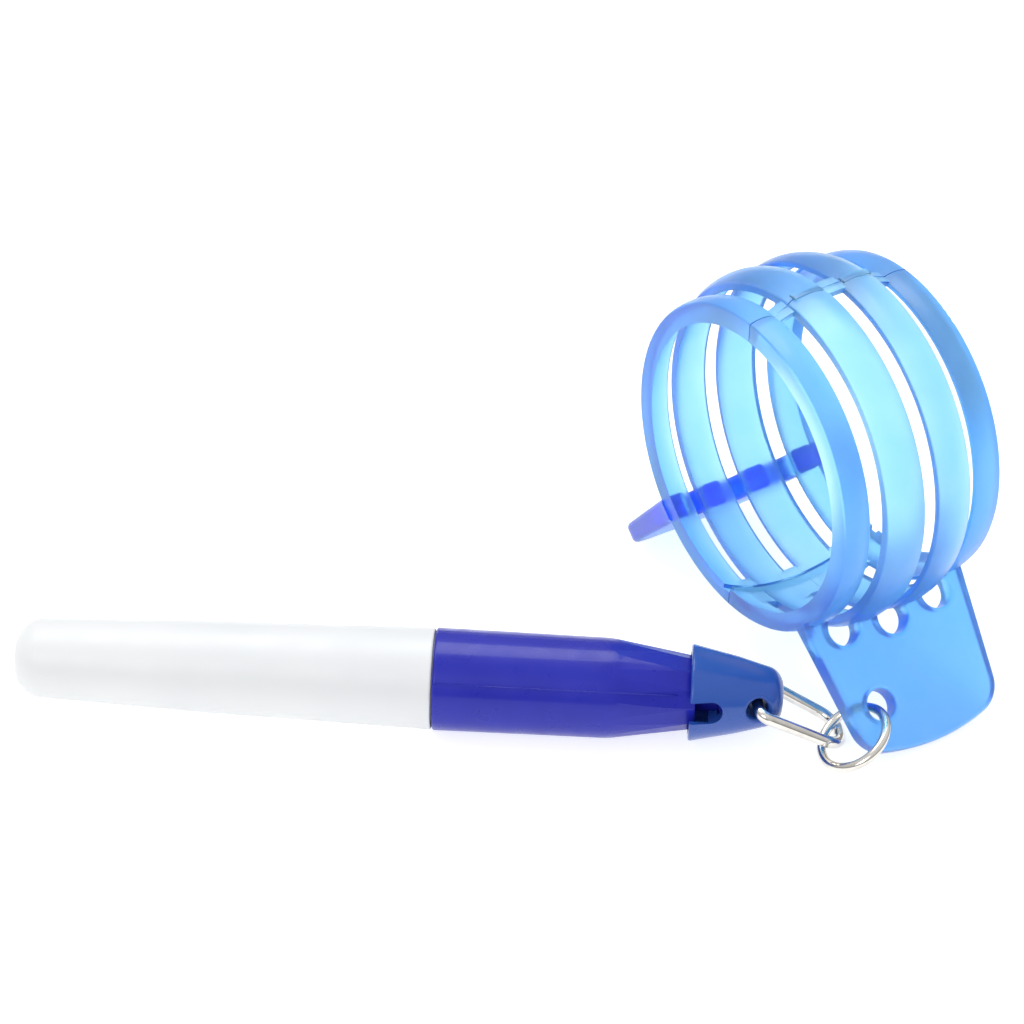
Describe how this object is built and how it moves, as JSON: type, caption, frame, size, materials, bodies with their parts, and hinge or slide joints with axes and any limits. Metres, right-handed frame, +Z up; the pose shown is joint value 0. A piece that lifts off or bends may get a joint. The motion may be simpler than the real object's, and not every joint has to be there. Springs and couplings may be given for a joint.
{
  "type": "golf ball line marking clamp with tethered marker",
  "caption": "Banded clamshell cage that clips round a golf ball so lines can be drawn through its slots, with finger tabs and a capped marker tethered by a wire ring and link.",
  "frame": {"origin": "on the surface that the clamp stands on, under the middle of the whole object's box", "axes": "+X along the cage's axis, from the tether's side; +Y from the front tab to the rear tab; +Z up"},
  "size_m": [0.1028, 0.0692, 0.0505],
  "materials": {
    "cage_plastic": "translucent blue, satin",
    "nickel": "bright nickel",
    "cap_end_plastic": "glossy blue",
    "cap_plastic": "glossy violet blue",
    "seal_plastic": "matte",
    "barrel_plastic": "satin white",
    "holder_plastic": "matte",
    "nib_fibre": "ink-soaked fibre",
    "reservoir_fibre": "ink-soaked fibre",
    "wrap_film": "thin film"
  },
  "bodies": {
    "front_shell": {"front_half": "cage_plastic"},
    "rear_shell": {"rear_half": "cage_plastic"},
    "ring": {"tether_ring": "nickel"},
    "link": {"tether_link": "nickel"},
    "tether_end": {"cap_end": "cap_end_plastic"},
    "pen_cap": {"cap": "cap_plastic", "cap_seal": "seal_plastic"},
    "marker": {"barrel": "barrel_plastic", "nib_holder": "holder_plastic", "nib": "nib_fibre", "ink_reservoir": "reservoir_fibre", "reservoir_wrap": "wrap_film"}
  },
  "joints": [
    {"name": "living_hinge", "type": "hinge", "parent": "front_shell", "child": "rear_shell", "pos_m": [0.0396, -0.0057, 0.05049], "axis": [1, 0, 0], "range_deg": [0, 100]},
    {"name": "ring_swing", "type": "hinge", "parent": "front_shell", "child": "ring", "pos_m": [0.0336, -0.02854, 0.0052], "axis": [0, -0.7071, 0.7071], "range_deg": [-20, 20]},
    {"name": "link_swing", "type": "hinge", "parent": "ring", "child": "link", "pos_m": [0.02869, -0.02567, 0.00173], "axis": [-0.8384, -0.2842, -0.4651], "range_deg": [-15, 15]},
    {"name": "cap_end_swing", "type": "hinge", "parent": "link", "child": "tether_end", "pos_m": [0.0217, -0.0204, 0.00615], "axis": [-0.5784, -0.7888, 0.2079], "range_deg": [-30, 45]},
    {"name": "cap_swivel", "type": "hinge", "parent": "tether_end", "child": "pen_cap", "pos_m": [0.0217, -0.0204, 0.00615], "axis": [-0.8064, 0.5913, 0], "continuous": true},
    {"name": "marker_pull", "type": "slide", "parent": "pen_cap", "child": "marker", "axis": [-0.8064, 0.5913, 0], "range_m": [0, 0.045]}
  ]
}
